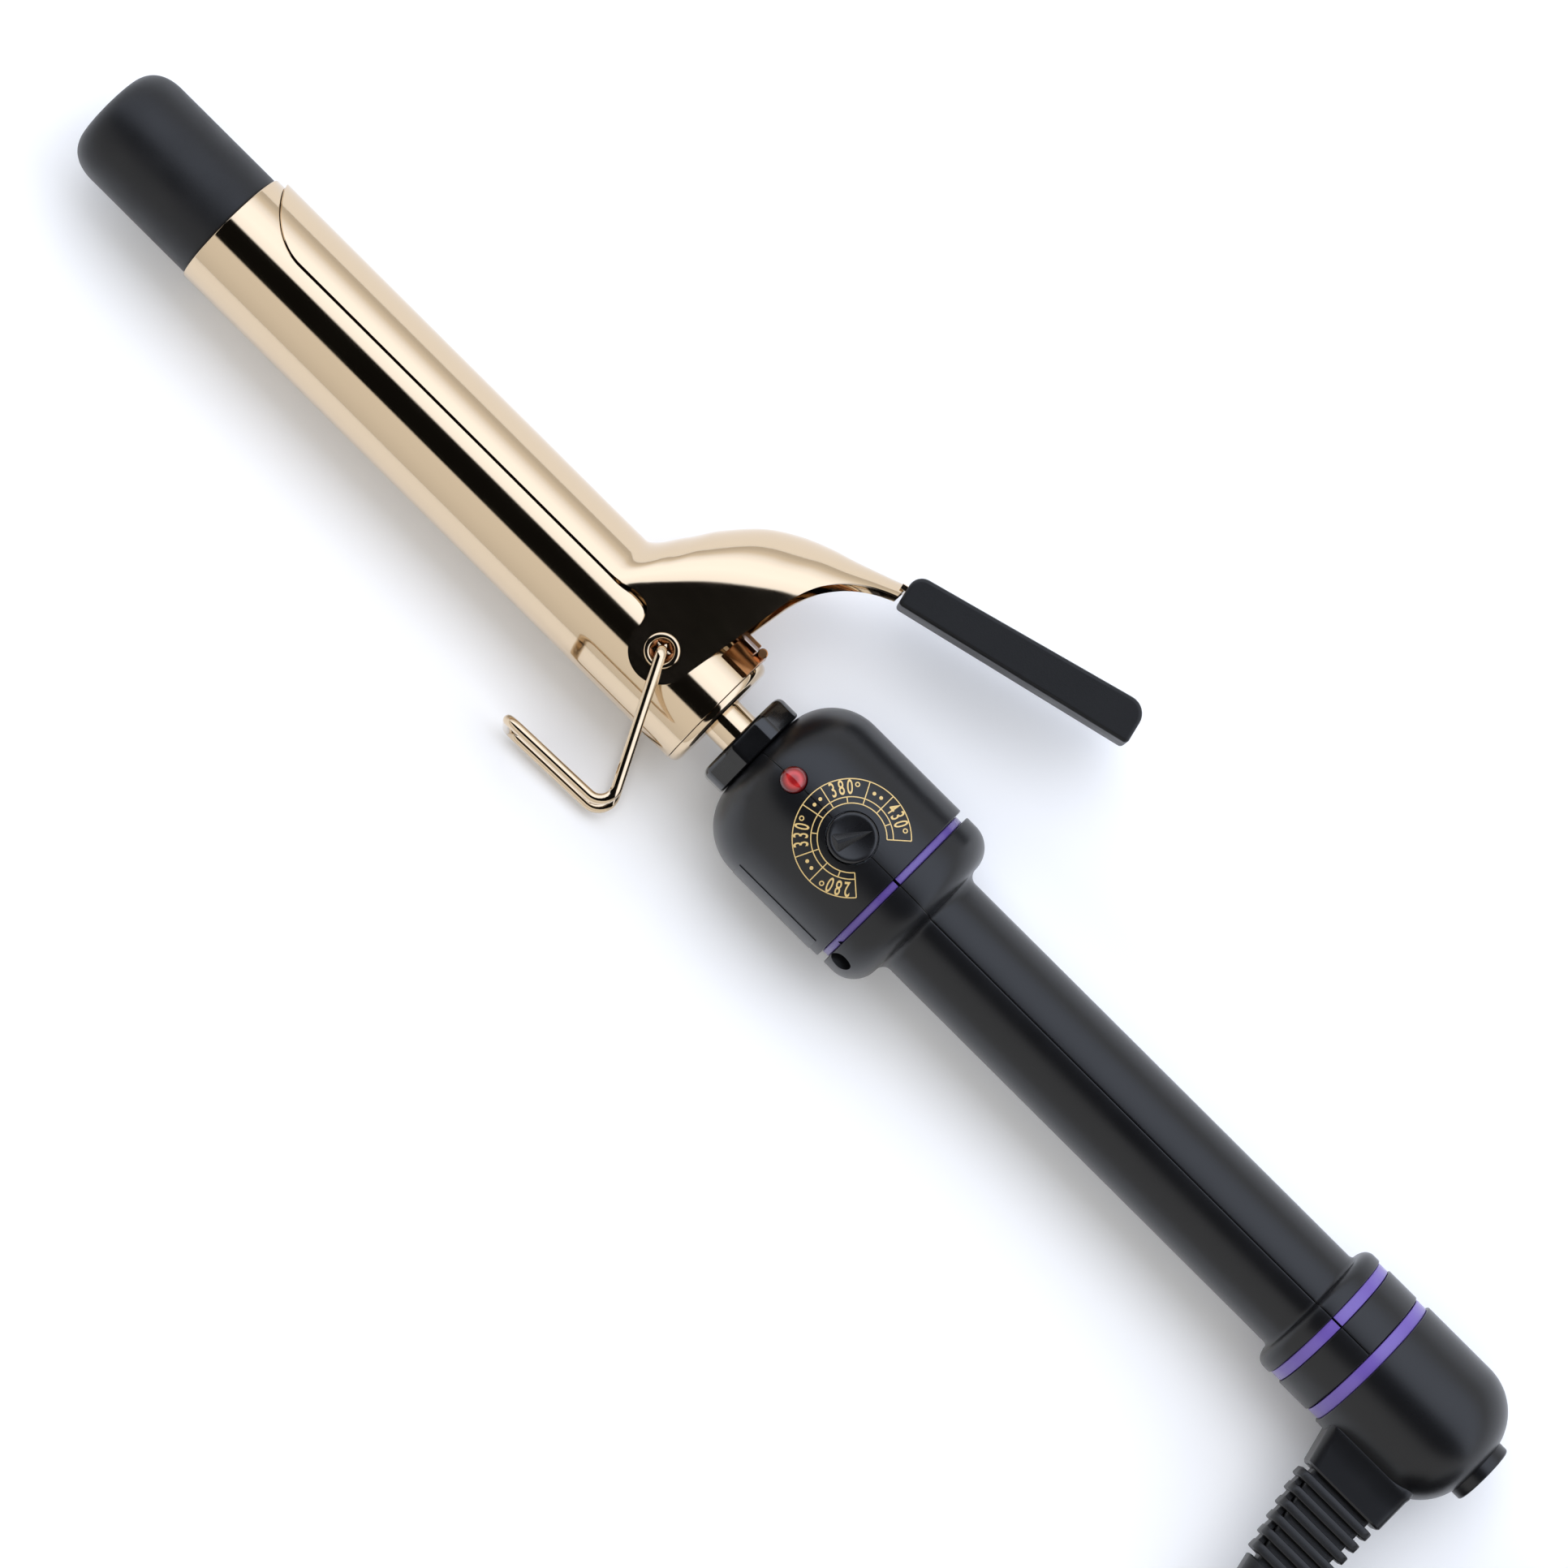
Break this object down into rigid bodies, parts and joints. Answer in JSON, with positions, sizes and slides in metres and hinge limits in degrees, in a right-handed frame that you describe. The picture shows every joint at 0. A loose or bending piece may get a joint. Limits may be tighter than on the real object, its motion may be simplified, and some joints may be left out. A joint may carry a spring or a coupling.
{
  "type": "curling iron",
  "caption": "Spring-clip curling iron with a plated barrel, cool tip, wire stand, heat dial in the handle and a swivel cord.",
  "frame": {"origin": "under the middle of the iron, cord left out, on the surface that it lies on", "axes": "+X from the cool tip to the cord end, +Y towards the thumb lever, +Z the way the dial faces"},
  "size_m": [0.4626, 0.1668, 0.0403],
  "materials": {
    "gold_plate": "mirror-polished pale gold plate",
    "plain_steel": "bright drawn steel",
    "spring_steel": "copper-coloured spring steel",
    "phenolic": "matte moulded phenolic",
    "satin_black": "satin moulded nylon",
    "gloss_black": "glossy moulded phenolic",
    "purple": "semi-gloss moulded ring",
    "red_lens": "clear red lens",
    "rubber_black": "matte moulded PVC",
    "soft_black": "matte moulded sleeve",
    "ceramic": "fired ceramic",
    "mica": "rolled mica paper",
    "resistance_wire": "resistance wire",
    "lead_insulation": "glass-fibre sleeving",
    "board": "glass-epoxy board",
    "brass": "turned brass",
    "carbon": "pressed carbon",
    "aluminium": "folded sheet",
    "cream_bearing": "moulded acetal"
  },
  "bodies": {
    "iron": {"cool_tip": "phenolic", "barrel_tube": "gold_plate", "barrel_end_cap": "gold_plate", "stem_tube": "gold_plate", "heater_core": "ceramic", "heater_winding": "resistance_wire", "mica_sleeve": "mica", "thermal_sensor": "brass", "lead_wires": "lead_insulation", "pivot_eyelets": "gold_plate", "spring_saddle": "spring_steel", "clip_spring": "spring_steel", "collar_nut": "gloss_black", "handle_shell_lever_side": "satin_black", "handle_shell_stand_side": "satin_black", "handle_screws": "plain_steel", "accent_ring_front": "purple", "accent_ring_rear": "purple", "pilot_lens": "red_lens", "pilot_lamp": "red_lens", "potentiometer": "aluminium", "circuit_board": "board", "heat_sink": "aluminium", "board_parts": "gloss_black", "rocker_switch_body": "gloss_black", "rating_plate": "satin_black", "swivel_bush": "cream_bearing", "brush_contacts": "carbon"},
    "clip": {"clamp_clip": "gold_plate", "thumb_rest": "soft_black"},
    "stand": {"stand_wire": "gold_plate"},
    "dial": {"dial_knob": "gloss_black"},
    "rocker": {"rocker_button": "gloss_black"},
    "swivel": {"swivel_hub": "cream_bearing", "slip_rings": "brass", "accent_ring_swivel": "purple", "swivel_cap": "satin_black", "end_button": "satin_black", "strain_relief": "rubber_black", "power_cord": "rubber_black", "cord_coil": "rubber_black", "cord_tie": "rubber_black", "plug_body": "rubber_black", "plug_blades": "brass"}
  },
  "joints": [
    {"name": "clip_pivot", "type": "hinge", "parent": "iron", "child": "clip", "pos_m": [-0.0363, -0.00278, 0.0193], "axis": [0, 0, -1], "range_deg": [0, 22], "stiffness_Nm_per_rad": 0.6, "springref_deg": -20.05, "deforming": ["clip_spring"]},
    {"name": "stand_pivot", "type": "hinge", "parent": "iron", "child": "stand", "pos_m": [-0.0363, -0.00278, 0.0193], "axis": [0, 0, -1], "range_deg": [-30, 41]},
    {"name": "dial_turn", "type": "hinge", "parent": "iron", "child": "dial", "pos_m": [0.0139, -0.00278, 0.0386], "axis": [0, 0, 1], "range_deg": [-13, 250]},
    {"name": "rocker_tilt", "type": "hinge", "parent": "iron", "child": "rocker", "pos_m": [0.0139, -0.00278, 0.0025], "axis": [0, 1, 0], "range_deg": [-14, 0]},
    {"name": "swivel_turn", "type": "hinge", "parent": "iron", "child": "swivel", "pos_m": [0.154, -0.00278, 0.0193], "axis": [1, 0, 0], "continuous": true}
  ]
}
